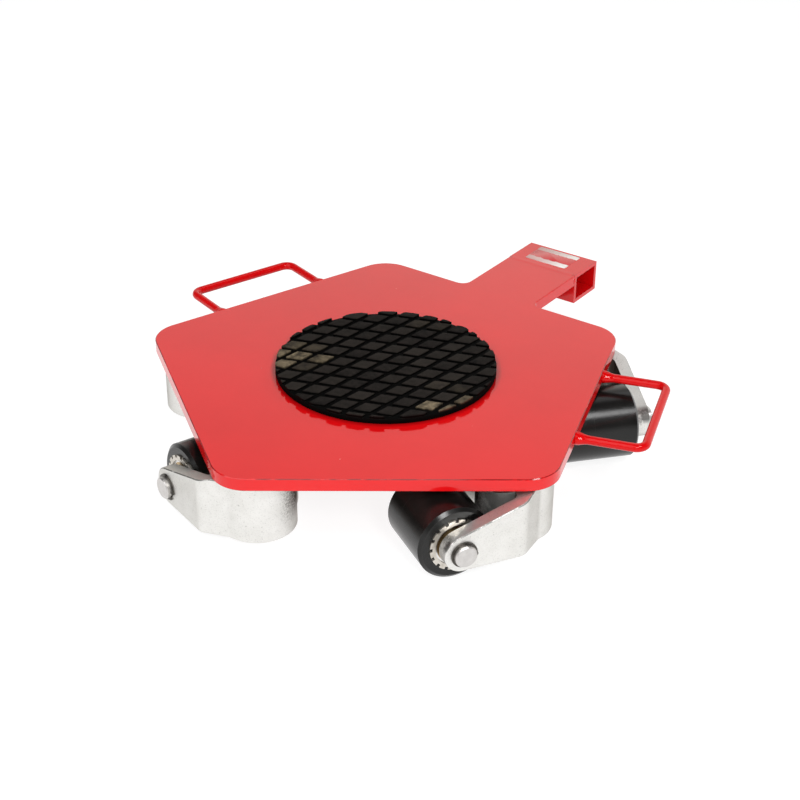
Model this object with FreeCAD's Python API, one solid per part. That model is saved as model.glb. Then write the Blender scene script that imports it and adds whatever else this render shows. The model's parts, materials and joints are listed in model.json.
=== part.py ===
import FreeCAD, Part
import math
import os

# Machine skate: a five-sided steel deck on five free-swivelling rollers, with a rubber load pad,
# two carrying handles and a tow tongue that ends in a rectangular tube.
# Millimetres. +Z is up, +Y points along the tow tongue, and the origin is on the floor
# under the middle of the part's box.

os.makedirs("parts", exist_ok=True)

Vector = FreeCAD.Vector
ORIGIN = Vector(0, 0, 0)
UP = Vector(0, 0, 1)
SIDEWAYS = Vector(0, 1, 0)
FULL_TURN = 360.0
RIGHT_ANGLE = 90.0

# Shared: cuts run past their faces by this much
overrun = 5.0
running_clearance = 0.05
seat_clearance = 0.02
ball_clearance = 0.3
turning_clearance = 0.5

# Deck plate
deck_sides = 5
deck_side = 350.0
deck_thickness = 15.0
deck_corner_radius = 40.0
deck_edge_chamfer = 0.8
roller_headroom = 7.5

# Tow tongue, cut from the deck plate
tongue_width = 100.0
tongue_length = 106.0
tongue_root_radius = 12.0

# Tow tube, a rectangular hollow section lying across the tongue's end
tube_depth = 56.0
tube_height = 40.0
tube_wall = 5.0
tube_edge_radius = 1.2

# Load pad: a rubber disc with two families of tread grooves
pad_radius = 128.0
pad_thickness = 10.0
tread_pitch = 23.5
groove_width = 6.8
groove_depth = 3.4
groove_normal_angles = (173.5, 110.0)
groove_offset_shares = (0.071, -0.108)

# Carrying handles: bent round bar, welded to the deck's edge
handle_bar_radius = 5.0
handle_span = 146.0
handle_reach = 76.0
handle_bend_radius = 12.0
handle_weld_radius = 7.0
handle_weld_length = 7.0

# Rollers
roller_radius = 42.5
roller_width = 84.0
roller_chamfer_depth = 3.8
roller_chamfer_width = 3.0
roller_core_radius = 21.5

# Roller bearings, one in each end of a roller
axle_radius = 12.5
bearing_outer_radius = 26.0
bearing_width = 15.0
bearing_inner_ring_wall = 3.6
bearing_outer_ring_wall = 4.2
bearing_ball_radius = 3.9
bearing_ball_count = 9
bearing_cage_wall = 1.6
bearing_cage_width = 4.0
bearing_shield_thickness = 0.8
bearing_shield_inset = 0.6

# Toothed rings that hold the bearings in the roller
ring_thickness = 2.0
ring_radius = 30.4
ring_bore_radius = 24.2
ring_notch_count = 16
ring_notch_width = 4.0
ring_notch_depth = 3.0

# Caster forks, one casting each
boss_radius = 42.4
pocket_clearance = 3.6
pocket_reach = 23.0
pocket_corner_radius = 6.0
swivel_gap = 1.5
cheek_side_clearance = 3.0
cheek_thickness = 15.5
eye_radius = 21.5
eye_collar_wall = 2.9
cheek_top_angle = 17.7
shoulder_root_angle = 103.2
shoulder_corner_run = 9.9
shoulder_radius = 16.0
shoulder_root_radius = 16.0
fork_edge_radius = 1.5

# Axle pins and the circlips at their ends
axle_overhang = 7.0
axle_end_chamfer = 1.2
circlip_thickness = 1.8
circlip_wall = 3.2
circlip_groove_depth = 0.9
circlip_opening_angle = 46.0
circlip_ear_radius = 2.6
circlip_ear_hole_radius = 1.0
circlip_turn_angle = 150.0

# Swivels: king pin, bush, thrust bearing and lock nut
king_pin_radius = 15.0
king_thread_radius = 12.0
king_pin_tail = 3.0
bush_wall = 3.0
bush_length = 31.0
thrust_race_thickness = 5.0
thrust_race_gap = 6.0
thrust_race_width = 11.0
thrust_ball_radius = 3.9
thrust_ball_count = 12
thrust_cage_width = 4.0
thrust_cage_thickness = 2.4
nut_across_flats = 36.0
nut_height = 14.0
nut_flange_radius = 22.0
nut_flange_thickness = 3.0
nut_gap = 0.3
cap_thickness = 1.6
cap_rim_height = 4.0
cap_inset = 0.6
lower_bore_radius = 26.0

# Each swivel sits this far in from its rounded corner of the deck
swivel_inset = 53.2

# The deck's corners in turn, and the heading of each caster's trail away from its corner's radial
corner_names = ("rear", "right", "front_right", "front_left", "left")
first_corner_angle = -90.0
heading_angles = (-109.2, -103.1, -94.9, -102.0, -102.0)

# The handles, and the direction of the deck edge that carries each
handle_names = ("right", "left")
handle_angles = (18.0, 162.0)

# Derived places
half_corner = math.pi / deck_sides
corner_angles = [first_corner_angle + step * FULL_TURN / deck_sides for step in range(deck_sides)]
deck_inradius = deck_side / 2 / math.tan(half_corner)
deck_circumradius = deck_side / 2 / math.sin(half_corner)
deck_corner_reach = deck_circumradius - deck_corner_radius * (1 / math.cos(half_corner) - 1)
deck_bottom = 2 * roller_radius + roller_headroom
deck_top = deck_bottom + deck_thickness
deck_middle = deck_bottom + deck_thickness / 2
tube_start = deck_inradius + tongue_length
tube_end = tube_start + tube_depth
deck_centre = Vector(0, (deck_corner_reach - tube_end) / 2, 0)

axle_height = roller_radius
trail = boss_radius + pocket_clearance + roller_radius
tread_half = roller_width / 2 - roller_chamfer_width
sweep_radius = math.hypot(trail + roller_radius, tread_half)
swivel_circle_radius = deck_corner_reach - swivel_inset
sweep_room = 2 * (swivel_circle_radius * math.sin(half_corner) - sweep_radius)

roller_face = roller_width / 2
cheek_inner = roller_face + ring_thickness + cheek_side_clearance
cheek_outer = cheek_inner + cheek_thickness
axle_half_length = cheek_outer + axle_overhang
eye_collar_radius = axle_radius + eye_collar_wall
fork_bottom = axle_height - eye_radius
fork_top = deck_bottom - swivel_gap
cheek_lean = math.radians(cheek_top_angle)
cheek_tangent_place = trail + eye_radius * math.sin(cheek_lean)
cheek_tangent_height = axle_height + eye_radius * math.cos(cheek_lean)
brow_place = cheek_tangent_place - (fork_top - cheek_tangent_height) / math.tan(cheek_lean)
shoulder_place = brow_place + shoulder_corner_run

bearing_inner_ring_radius = axle_radius + bearing_inner_ring_wall
bearing_outer_ring_bore = bearing_outer_radius - bearing_outer_ring_wall
bearing_ball_circle = (bearing_inner_ring_radius + bearing_outer_ring_bore) / 2
bearing_middle = roller_face - bearing_width / 2

upper_race_bottom = deck_bottom - thrust_race_thickness
lower_race_top = upper_race_bottom - thrust_race_gap
lower_race_bottom = lower_race_top - thrust_race_thickness
thrust_ball_height = (upper_race_bottom + lower_race_top) / 2
thrust_bore_radius = king_pin_radius + turning_clearance
thrust_outer_radius = thrust_bore_radius + thrust_race_width
thrust_ball_circle = thrust_bore_radius + thrust_race_width / 2
thrust_well_radius = thrust_outer_radius + turning_clearance
bush_bottom = lower_race_bottom - bush_length
nut_top = bush_bottom - nut_gap
nut_bottom = nut_top - nut_height
king_pin_bottom = nut_bottom - king_pin_tail


def ring(outer, bore, height, base):
    """A flat ring about the Z axis, standing on base."""
    solid = Part.makeCylinder(outer, height, Vector(0, 0, base))
    hole = Part.makeCylinder(bore, height + 2 * overrun, Vector(0, 0, base - overrun))
    return solid.cut(hole)


def along_axle(solid):
    """Turns a piece modelled about Z so that its axis lies along Y, at the axle's place."""
    turned = solid.copy()
    turned.rotate(ORIGIN, Vector(1, 0, 0), -RIGHT_ANGLE)
    turned.translate(Vector(trail, 0, axle_height))
    return turned


def both_ends(solid):
    """A piece and its mirror image on the other side of the roller."""
    other = solid.mirror(ORIGIN, SIDEWAYS)
    return [solid, other]


def polar(radius, degrees):
    angle = math.radians(degrees)
    return Vector(radius * math.cos(angle), radius * math.sin(angle), 0)


def prism(points, base, height):
    """An upright prism over a closed outline."""
    outline = Part.makePolygon(points + points[:1])
    solid = Part.Face(outline).extrude(UP * height)
    solid.translate(UP * base)
    return solid


def upright_edges(solid, keep):
    """The straight upright edges whose place passes the test."""
    found = []
    for edge in solid.Edges:
        first, last = edge.Vertexes[0].Point, edge.Vertexes[-1].Point
        sideways = math.hypot(first.x - last.x, first.y - last.y)
        if sideways < seat_clearance and first.distanceToPoint(last) > overrun and keep(first):
            found.append(edge)
    return found


def level_edges(solid, heights):
    """The edges that lie wholly at one of the given heights."""
    found = []
    for edge in solid.Edges:
        box = edge.BoundBox
        flat = box.ZMax - box.ZMin < seat_clearance
        if flat and any(abs(box.ZMax - height) < seat_clearance for height in heights):
            found.append(edge)
    return found


def base_plate():
    """The deck and its tongue, cut from one plate, with broken edges."""
    corners = [polar(deck_circumradius, angle) for angle in corner_angles]
    deck = prism(corners, deck_bottom, deck_thickness)
    deck = deck.makeFillet(deck_corner_radius, upright_edges(deck, lambda point: True))
    tongue = Part.makeBox(
        tongue_width, tube_start, deck_thickness, Vector(-tongue_width / 2, 0, deck_bottom)
    )
    plate = deck.fuse(tongue).removeSplitter()

    def at_root(point):
        beside = abs(abs(point.x) - tongue_width / 2) < seat_clearance
        return beside and abs(point.y - deck_inradius) < seat_clearance

    plate = plate.makeFillet(tongue_root_radius, upright_edges(plate, at_root))
    rims = [
        edge
        for edge in level_edges(plate, (deck_bottom, deck_top))
        if edge.BoundBox.YMin < tube_start - seat_clearance
    ]
    return plate.makeChamfer(deck_edge_chamfer, rims)


def tow_tube():
    """The rectangular tube across the tongue's end, open at both ends."""
    outer = Part.makeBox(
        tongue_width, tube_depth, tube_height, Vector(-tongue_width / 2, tube_start, deck_top - tube_height)
    )

    def against_tongue(edge):
        box = edge.BoundBox
        return box.YMax < tube_start + seat_clearance and box.ZMin > deck_top - seat_clearance

    lengthwise = [
        edge
        for edge in outer.Edges
        if edge.BoundBox.XLength > tongue_width / 2 and not against_tongue(edge)
    ]
    outer = outer.makeFillet(tube_edge_radius, lengthwise)
    bore = Part.makeBox(
        tongue_width + 2 * overrun,
        tube_depth - 2 * tube_wall,
        tube_height - 2 * tube_wall,
        Vector(-tongue_width / 2 - overrun, tube_start + tube_wall, deck_top - tube_height + tube_wall),
    )
    return outer.cut(bore)


def load_pad():
    """The rubber disc, its top cut into diamond blocks by two families of grooves."""
    pad = Part.makeCylinder(pad_radius, pad_thickness, Vector(0, 0, deck_top))
    floor_of_groove = deck_top + pad_thickness - groove_depth
    reach = math.ceil(pad_radius / tread_pitch)
    grooves = []
    for normal_angle, offset_share in zip(groove_normal_angles, groove_offset_shares):
        for step in range(-reach, reach + 1):
            place = (step + offset_share) * tread_pitch
            if abs(place) + groove_width / 2 > pad_radius:
                continue
            corner = Vector(place - groove_width / 2, -pad_radius - overrun, floor_of_groove)
            groove = Part.makeBox(groove_width, 2 * (pad_radius + overrun), groove_depth + overrun, corner)
            groove.rotate(ORIGIN, UP, normal_angle)
            grooves.append(groove)
    return pad.cut(grooves)


def handle(normal_angle):
    """One bent-bar handle with a weld collar at each root, on the deck edge facing the given way."""
    half_span = handle_span / 2
    root = deck_inradius
    reach = root + handle_reach
    bend = handle_bend_radius
    knuckle = bend * (1 - math.cos(math.pi / 4))
    points = [
        Vector(root, -half_span, deck_middle),
        Vector(reach - bend, -half_span, deck_middle),
        Vector(reach - knuckle, -half_span + knuckle, deck_middle),
        Vector(reach, -half_span + bend, deck_middle),
    ]
    mirrored = [Vector(point.x, -point.y, point.z) for point in reversed(points)]
    path = Part.Wire(
        [
            Part.LineSegment(points[0], points[1]).toShape(),
            Part.Arc(points[1], points[2], points[3]).toShape(),
            Part.LineSegment(points[3], mirrored[0]).toShape(),
            Part.Arc(mirrored[0], mirrored[1], mirrored[2]).toShape(),
            Part.LineSegment(mirrored[2], mirrored[3]).toShape(),
        ]
    )
    section = Part.Wire([Part.makeCircle(handle_bar_radius, points[0], Vector(1, 0, 0))])
    bar = path.makePipeShell([section], True, False)
    for root_point in (points[0], mirrored[3]):
        collar = Part.makeCone(
            handle_weld_radius, handle_bar_radius, handle_weld_length, root_point, Vector(1, 0, 0)
        )
        bar = bar.fuse(collar)
    bar.rotate(ORIGIN, UP, normal_angle)
    return bar


def king_pin():
    """The shaft welded under the deck, with a thinner threaded end for its nut."""
    shaft = Part.makeCylinder(king_pin_radius, deck_bottom - nut_top, Vector(0, 0, nut_top))
    thread = Part.makeCylinder(king_thread_radius, nut_top - king_pin_bottom, Vector(0, 0, king_pin_bottom))
    return shaft.fuse(thread).removeSplitter()


def king_nut():
    """A flanged hexagon nut under the bush."""
    flats = nut_across_flats / 2 / math.cos(math.radians(FULL_TURN / 12))
    corners = [polar(flats, step * FULL_TURN / 6) for step in range(6)]
    body = prism(corners, nut_bottom, nut_height)
    flange_bottom = Vector(0, 0, nut_top - nut_flange_thickness)
    flange = Part.makeCylinder(nut_flange_radius, nut_flange_thickness, flange_bottom)
    bore = Part.makeCylinder(
        king_thread_radius + seat_clearance, nut_height + 2 * overrun, Vector(0, 0, nut_bottom - overrun)
    )
    return body.fuse(flange).cut(bore)


def thrust_track():
    """The ring that both thrust races are grooved with, a little larger than the balls."""
    return Part.makeTorus(
        thrust_ball_circle, thrust_ball_radius + ball_clearance, Vector(0, 0, thrust_ball_height)
    )


def thrust_upper_race():
    bore = king_pin_radius + seat_clearance
    race = ring(thrust_outer_radius, bore, thrust_race_thickness, upper_race_bottom)
    return race.cut(thrust_track())


def thrust_lower_race():
    race = ring(
        thrust_well_radius - seat_clearance, thrust_bore_radius, thrust_race_thickness, lower_race_bottom
    )
    return race.cut(thrust_track())


def ball_cage(circle, ball_radius, count, width, thickness, height):
    """Balls held in a flat cage ring about the Z axis."""
    cage = ring(circle + width / 2, circle - width / 2, thickness, -thickness / 2)
    balls = []
    for step in range(count):
        ball = Part.makeSphere(ball_radius)
        ball.translate(Vector(circle, 0, 0))
        ball.rotate(ORIGIN, UP, step * FULL_TURN / count)
        balls.append(ball)
    ball_set = cage.fuse(balls)
    ball_set.translate(UP * height)
    return ball_set


def thrust_balls():
    return ball_cage(
        thrust_ball_circle,
        thrust_ball_radius,
        thrust_ball_count,
        thrust_cage_width,
        thrust_cage_thickness,
        thrust_ball_height,
    )


def fork_plan():
    """The fork seen from above, as an upright solid: round boss, sloping shoulders, straight sides."""
    corner = Vector(shoulder_place, cheek_outer, 0)
    root = polar(boss_radius, shoulder_root_angle)
    inside = root + (root - corner).normalize() * overrun
    one_side = [Vector(trail + eye_radius, cheek_outer, 0), corner, inside]
    other_side = [Vector(point.x, -point.y, 0) for point in reversed(one_side)]
    height = fork_top - fork_bottom
    body = prism(one_side + other_side, fork_bottom, height)
    boss = Part.makeCylinder(boss_radius, height, Vector(0, 0, fork_bottom))
    plan = body.fuse(boss).removeSplitter()

    def on_shoulder(point):
        return abs(abs(point.y) - cheek_outer) < seat_clearance and point.x < shoulder_place + seat_clearance

    def in_root(point):
        on_boss = abs(math.hypot(point.x, point.y) - boss_radius) < seat_clearance
        return on_boss and abs(point.y) > boss_radius / 2

    plan = plan.makeFillet(shoulder_radius, upright_edges(plan, on_shoulder))
    return plan.makeFillet(shoulder_root_radius, upright_edges(plan, in_root))


def fork_side():
    """The fork seen from the side, as a solid across its width: round eye, sloping top, level bottom."""
    eye = Vector(trail, 0, axle_height)
    tangent = Vector(cheek_tangent_place, 0, cheek_tangent_height)
    tip = eye + Vector(eye_radius, 0, 0)
    low = Vector(trail, 0, fork_bottom)
    brow = Vector(brow_place, 0, fork_top)
    back = -boss_radius - overrun
    back_top = Vector(back, 0, fork_top)
    back_low = Vector(back, 0, fork_bottom)
    halfway = eye + (Vector(1, 0, -1).normalize()) * eye_radius
    front = (tangent - eye + tip - eye).normalize() * eye_radius + eye
    outline = Part.Wire(
        [
            Part.LineSegment(back_low, low).toShape(),
            Part.Arc(low, halfway, tip).toShape(),
            Part.Arc(tip, front, tangent).toShape(),
            Part.LineSegment(tangent, brow).toShape(),
            Part.LineSegment(brow, back_top).toShape(),
            Part.LineSegment(back_top, back_low).toShape(),
        ]
    )
    side = Part.Face(outline).extrude(SIDEWAYS * (2 * (cheek_outer + overrun)))
    side.translate(SIDEWAYS * -(cheek_outer + overrun))
    return side


def fork_rims(body):
    """The rims of a fork blank: its bottom and top outlines and the outlines of its two outer faces."""
    rims = level_edges(body, (fork_bottom, fork_top))
    for edge in body.Edges:
        box = edge.BoundBox
        level = box.YLength < seat_clearance
        outermost = abs(abs(box.YMax) - cheek_outer) < seat_clearance
        if level and outermost and box.XLength > seat_clearance:
            rims.append(edge)
    return rims


def fork():
    """The caster fork: boss and two cheeks in one casting, hollowed for the roller and the swivel."""
    body = fork_plan().common(fork_side())
    body = body.makeFillet(fork_edge_radius, fork_rims(body))
    collar = Part.makeCylinder(eye_collar_radius, cheek_inner - roller_face, Vector(0, 0, roller_face))
    axle_hole = Part.makeCylinder(
        axle_radius + seat_clearance, 2 * (cheek_outer + overrun), Vector(0, 0, -cheek_outer - overrun)
    )
    body = body.cut(roller_way())
    body = body.fuse(both_ends(along_axle(collar)))
    body = body.cut(along_axle(axle_hole))
    return body.cut(swivel_hollow()).removeSplitter()


def roller_way():
    """The open way for the roller: from round the boss, between the cheeks, outwards."""
    start = boss_radius - pocket_reach
    way = Part.makeBox(
        trail + eye_radius + overrun - start, 2 * cheek_inner, deck_top, Vector(start, -cheek_inner, 0)
    )

    def at_start(point):
        return abs(point.x - start) < seat_clearance

    way = way.makeFillet(pocket_corner_radius, upright_edges(way, at_start))
    return way.cut(Part.makeCylinder(boss_radius, deck_top))


def swivel_hollow():
    """The stepped hole down the boss: thrust bearing well, bush seat and nut chamber."""
    well = Part.makeCylinder(thrust_well_radius, deck_top, Vector(0, 0, lower_race_bottom))
    seat = Part.makeCylinder(king_pin_radius + running_clearance + bush_wall + seat_clearance, deck_top)
    chamber = Part.makeCylinder(lower_bore_radius, bush_bottom)
    return [well, seat, chamber]


def swivel_bush():
    bore = king_pin_radius + running_clearance
    return ring(bore + bush_wall, bore, bush_length, bush_bottom)


def dust_cap():
    """A pressed cup that closes the boss from below."""
    rim = ring(
        lower_bore_radius - seat_clearance,
        lower_bore_radius - seat_clearance - cap_thickness,
        cap_rim_height,
        fork_bottom + cap_inset,
    )
    disc = Part.makeCylinder(
        lower_bore_radius - seat_clearance, cap_thickness, Vector(0, 0, fork_bottom + cap_inset)
    )
    return rim.fuse(disc).removeSplitter()


def axle():
    """The fixed axle pin, chamfered and grooved at both ends."""
    pin = Part.makeCylinder(axle_radius, 2 * axle_half_length, Vector(0, 0, -axle_half_length))
    rims = level_edges(pin, (axle_half_length, -axle_half_length))
    pin = pin.makeChamfer(axle_end_chamfer, rims)
    slot = circlip_thickness + seat_clearance
    groove = ring(axle_radius + overrun, axle_radius - circlip_groove_depth, slot, cheek_outer)
    return along_axle(pin.cut([groove, groove.mirror(ORIGIN, UP)]))


def axle_circlip():
    """An open spring ring with two eared ends, in the axle's groove outside a cheek."""
    bore = axle_radius - circlip_groove_depth + seat_clearance
    outer = bore + circlip_wall
    clip = ring(outer, bore, circlip_thickness, cheek_outer)
    half_opening = circlip_opening_angle / 2
    mouth_reach = 2 * outer
    wedge = [ORIGIN, polar(mouth_reach, -half_opening), polar(mouth_reach, half_opening)]
    mouth = prism(wedge, cheek_outer, circlip_thickness)
    clip = clip.cut(mouth)
    for side in (-1, 1):
        centre = polar(outer - circlip_wall / 2, side * half_opening) + UP * cheek_outer
        ear = Part.makeCylinder(circlip_ear_radius, circlip_thickness, centre)
        inside = Part.makeCylinder(bore, circlip_thickness, UP * cheek_outer)
        clip = clip.fuse(ear.cut(inside))
        hole = Part.makeCylinder(circlip_ear_hole_radius, circlip_thickness, centre)
        clip = clip.cut(hole)
    clip.rotate(ORIGIN, UP, circlip_turn_angle)
    return along_axle(clip)


def bearing_track():
    """The ring that both bearing rings are grooved with, a little larger than the balls."""
    return Part.makeTorus(
        bearing_ball_circle, bearing_ball_radius + ball_clearance, Vector(0, 0, bearing_middle)
    )


def bearing_inner_ring():
    inner = ring(
        bearing_inner_ring_radius, axle_radius + seat_clearance, bearing_width, roller_face - bearing_width
    )
    return along_axle(inner.cut(bearing_track()))


def bearing_outer_ring():
    """The outer ring with the shield that closes the bearing's outer side."""
    outer = ring(
        bearing_outer_radius - seat_clearance,
        bearing_outer_ring_bore,
        bearing_width,
        roller_face - bearing_width,
    )
    shield = ring(
        bearing_outer_ring_bore + seat_clearance,
        bearing_inner_ring_radius + ball_clearance,
        bearing_shield_thickness,
        roller_face - bearing_shield_inset - bearing_shield_thickness,
    )
    return along_axle(outer.cut(bearing_track()).fuse(shield))


def bearing_ball_set():
    balls = ball_cage(
        bearing_ball_circle,
        bearing_ball_radius,
        bearing_ball_count,
        bearing_cage_wall,
        bearing_cage_width,
        bearing_middle,
    )
    return along_axle(balls)


def roller():
    """The solid roller, chamfered at both ends and bored for its bearings."""
    body = Part.makeCylinder(roller_radius, 2 * tread_half, Vector(0, 0, -tread_half))
    end = Part.makeCone(
        roller_radius, roller_radius - roller_chamfer_depth, roller_chamfer_width, Vector(0, 0, tread_half)
    )
    seat_floor = Vector(0, 0, roller_face - bearing_width)
    seat = Part.makeCylinder(bearing_outer_radius, bearing_width + overrun, seat_floor)
    core = Part.makeCylinder(roller_core_radius, 2 * roller_width, Vector(0, 0, -roller_width))
    body = body.fuse([end, end.mirror(ORIGIN, UP)]).cut([seat, seat.mirror(ORIGIN, UP), core])
    return along_axle(body.removeSplitter())


def retaining_ring():
    """The toothed steel ring on a roller's end, over the bearing's outer ring."""
    plain = ring(ring_radius, ring_bore_radius, ring_thickness, roller_face)
    notches = []
    for step in range(ring_notch_count):
        notch = Part.makeBox(
            ring_notch_depth + overrun,
            ring_notch_width,
            ring_thickness,
            Vector(ring_radius - ring_notch_depth, -ring_notch_width / 2, roller_face),
        )
        notch.rotate(ORIGIN, UP, step * FULL_TURN / ring_notch_count)
        notches.append(notch)
    return along_axle(plain.cut(notches))


def seat_caster(solid, corner):
    """Turns a caster's piece to its heading and sets it under its corner of the deck."""
    seated = solid.copy()
    seated.rotate(ORIGIN, UP, corner_angles[corner] + heading_angles[corner])
    seated.translate(polar(swivel_circle_radius, corner_angles[corner]) + deck_centre)
    return seated


def save(node, solids):
    """Writes one node, as a solid or as a group of separate solids."""
    shape = solids[0] if len(solids) == 1 else Part.makeCompound(solids)
    shape.exportStep("parts/" + node + ".step")


def save_deck_piece(node, solid):
    moved = solid.copy()
    moved.translate(deck_centre)
    save(node, [moved])


save_deck_piece("base_plate", base_plate())
save_deck_piece("tow_tube", tow_tube())
save_deck_piece("load_pad", load_pad())
for name, edge_angle in zip(handle_names, handle_angles):
    save_deck_piece("handle_" + name, handle(edge_angle))

# Pieces of the swivels that stay with the deck, one of each at every corner
deck_swivel_pieces = {
    "king_pins": king_pin(),
    "king_nuts": king_nut(),
    "thrust_upper_races": thrust_upper_race(),
    "thrust_balls": thrust_balls(),
}
for node, solid in deck_swivel_pieces.items():
    save(node, [seat_caster(solid, corner) for corner in range(deck_sides)])

# Pieces that each caster has for itself
caster_pieces = {
    "fork": [fork()],
    "swivel_bush": [swivel_bush()],
    "thrust_lower_race": [thrust_lower_race()],
    "dust_cap": [dust_cap()],
    "axle": [axle()],
    "axle_circlips": both_ends(axle_circlip()),
    "bearing_inner_rings": both_ends(bearing_inner_ring()),
    "roller": [roller()],
    "roller_bearings": both_ends(bearing_outer_ring()) + both_ends(bearing_ball_set()),
    "retaining_rings": both_ends(retaining_ring()),
}
for corner, name in enumerate(corner_names):
    for piece, solids in caster_pieces.items():
        save(name + "_" + piece, [seat_caster(solid, corner) for solid in solids])

print("Room left between two neighbouring casters as they swing:", round(sweep_room, 2), "mm")
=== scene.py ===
import json
import math
import random

import bmesh
import bpy
from mathutils import Euler, Matrix, Vector


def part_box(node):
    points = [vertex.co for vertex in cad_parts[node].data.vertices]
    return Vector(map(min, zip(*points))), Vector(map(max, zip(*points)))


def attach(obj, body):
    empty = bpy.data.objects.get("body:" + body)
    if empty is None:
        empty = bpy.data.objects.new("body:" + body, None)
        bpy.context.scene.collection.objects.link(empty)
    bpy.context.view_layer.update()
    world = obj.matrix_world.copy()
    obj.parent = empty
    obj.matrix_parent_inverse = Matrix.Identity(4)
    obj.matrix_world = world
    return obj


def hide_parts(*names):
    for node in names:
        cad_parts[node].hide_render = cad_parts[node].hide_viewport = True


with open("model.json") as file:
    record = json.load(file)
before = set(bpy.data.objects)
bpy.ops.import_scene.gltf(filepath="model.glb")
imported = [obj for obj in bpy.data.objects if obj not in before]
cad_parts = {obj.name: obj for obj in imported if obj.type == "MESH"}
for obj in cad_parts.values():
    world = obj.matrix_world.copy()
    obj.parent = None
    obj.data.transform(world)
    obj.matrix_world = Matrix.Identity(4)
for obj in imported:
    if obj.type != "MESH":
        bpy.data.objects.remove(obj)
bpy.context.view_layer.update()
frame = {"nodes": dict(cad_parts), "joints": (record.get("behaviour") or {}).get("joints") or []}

# The dressed machine skate. Metres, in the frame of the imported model.
MM = 0.001
TURN = 2 * math.pi
SEED = 7

# Camera: the photograph's standpoint, direction and lens
CAMERA_PLACE = (1.00674, -1.44841, 1.04283)
CAMERA_HEADING = math.radians(35.3387)
CAMERA_DROP = math.radians(29.652)
CAMERA_ROLL = math.radians(0.455)
CAMERA_LENS = 75.806
CAMERA_SENSOR = 36.0

# Studio
FLOOR_SIDE = 90.0
FLOOR_DARK = (0.24, 0.24, 0.24, 1)
FLOOR_LIGHT = (0.26, 0.26, 0.26, 1)
FLOOR_PATCH_SIZE = 1.5
FLOOR_GLOW = 0.87
FLOOR_GLOW_COLOUR = (1, 1, 1, 1)
# Surroundings: a dim room with a lit backdrop, behind the object and to its right, and a pale horizon
ROOM_LEVEL = 0.14
ROOM_COLOUR = (1, 1, 1, 1)
BACKDROP_LEVEL = 1.2
BACKDROP_COLOUR = (1.0, 0.97, 0.9, 1)
BACKDROP_DIRECTION = (-0.087, 0.996, 0.0)
BACKDROP_SIDE_FADE = (0.25, 0.8)
BACKDROP_TOP_FADE = (0.85, 0.42)
HORIZON_LEVEL = 0.93
HORIZON_FADE = (0.2, 0.1)
# Softboxes: direction and rise as seen from the deck, side in metres, power in watts
SOFTBOX_DISTANCE = 2.6
SOFTBOXES = (
    (math.radians(-95), math.radians(48), 2.6, 45.5),
    (math.radians(-37), math.radians(36), 0.55, 21.0),
    (math.radians(-10), math.radians(50), 0.6, 16.0),
    (math.radians(93), math.radians(59), 1.1, 4.3),
)

# Deck, as the frame has it
PLATE_LOW, PLATE_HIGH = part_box("base_plate")
PAD_LOW, PAD_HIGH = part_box("load_pad")
TUBE_LOW, TUBE_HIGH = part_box("tow_tube")
DECK_SIDE = 350 * MM
DECK_INRADIUS = DECK_SIDE / 2 / math.tan(TURN / 10)
DECK_CENTRE = Vector(((PAD_LOW.x + PAD_HIGH.x) / 2, (PAD_LOW.y + PAD_HIGH.y) / 2, 0))
DECK_MIDDLE = (PLATE_LOW.z + PLATE_HIGH.z) / 2
TONGUE_ROOT = DECK_CENTRE.y + DECK_INRADIUS

# Load pad: tread blocks between two families of grooves
PAD_RADIUS = (PAD_HIGH.x - PAD_LOW.x) / 2
TREAD_PITCH = 23.5 * MM
GROOVE_WIDTH = 6.8 * MM
GROOVE_DEPTH = 3.4 * MM
GROOVE_NORMALS = (math.radians(173.5), math.radians(110))
GROOVE_OFFSET_SHARES = (0.071, -0.108)
PAD_RIM_STEPS = 160
PAD_RIM_EASE = 0.3 * MM
PAD_FOOT_RISE = 0.5 * MM
PAD_FOOT_INSET = 0.4 * MM
BLOCK_ROUNDING = 0.8 * MM
BLOCK_ROUNDING_STEPS = 3
BLOCK_ROOT_SINK = 0.3 * MM
BLOCK_UNEVENNESS = 0.25 * MM
BLOCK_SHORTEST_EDGE = 1.6 * MM
BLOCK_SMALLEST_AREA = 9 * MM * MM
# Painted shade in a ring on the deck close round the pad: its width, its strength, and the depth over which
# it fades out below the deck's top
PAD_SHADE_WIDTH = 7 * MM
PAD_SHADE_STRENGTH = 0.7
PAD_SHADE_DEPTH = 1 * MM
# Dust on the pad: how far it reaches round a dusty place, and a block's sure and random share of it
DUST_REACH = 15 * MM
DUST_SURE_SHARE = 0.7
DUST_RANDOM_SHARE = 0.3
# Places where dust has stayed: direction and distance from the pad's centre, strength
DUSTY_PLACES = (
    (math.radians(209), 100 * MM, 1.0),
    (math.radians(211), 77 * MM, 0.5),
    (math.radians(218), 116 * MM, 0.75),
    (math.radians(207), 120 * MM, 0.6),
    (math.radians(197), 114 * MM, 0.25),
    (math.radians(195), 89 * MM, 0.17),
    (math.radians(225), 94 * MM, 0.08),
    (math.radians(-30), 113 * MM, 0.85),
    (math.radians(-22), 125 * MM, 0.65),
    (math.radians(-9), 126 * MM, 0.35),
    (math.radians(-7), 81 * MM, 0.07),
    (math.radians(-4), 102 * MM, 0.07),
    (math.radians(104), 104 * MM, 0.06),
    (math.radians(91), 109 * MM, 0.05),
)

# Handle welds: lumpy fillets round the bar where it meets the deck's edge
HANDLE_SPAN = 146 * MM
HANDLE_EDGES = {"handle_right": math.radians(18), "handle_left": math.radians(162)}
WELD_STEPS_AROUND = 56
WELD_RIPPLES = 13
WELD_RIPPLE_HEIGHT = 0.32 * MM
WELD_RIPPLE_LEAN = 2.2
WELD_SWAY_SHARES = (0.45, 0.3)
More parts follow.
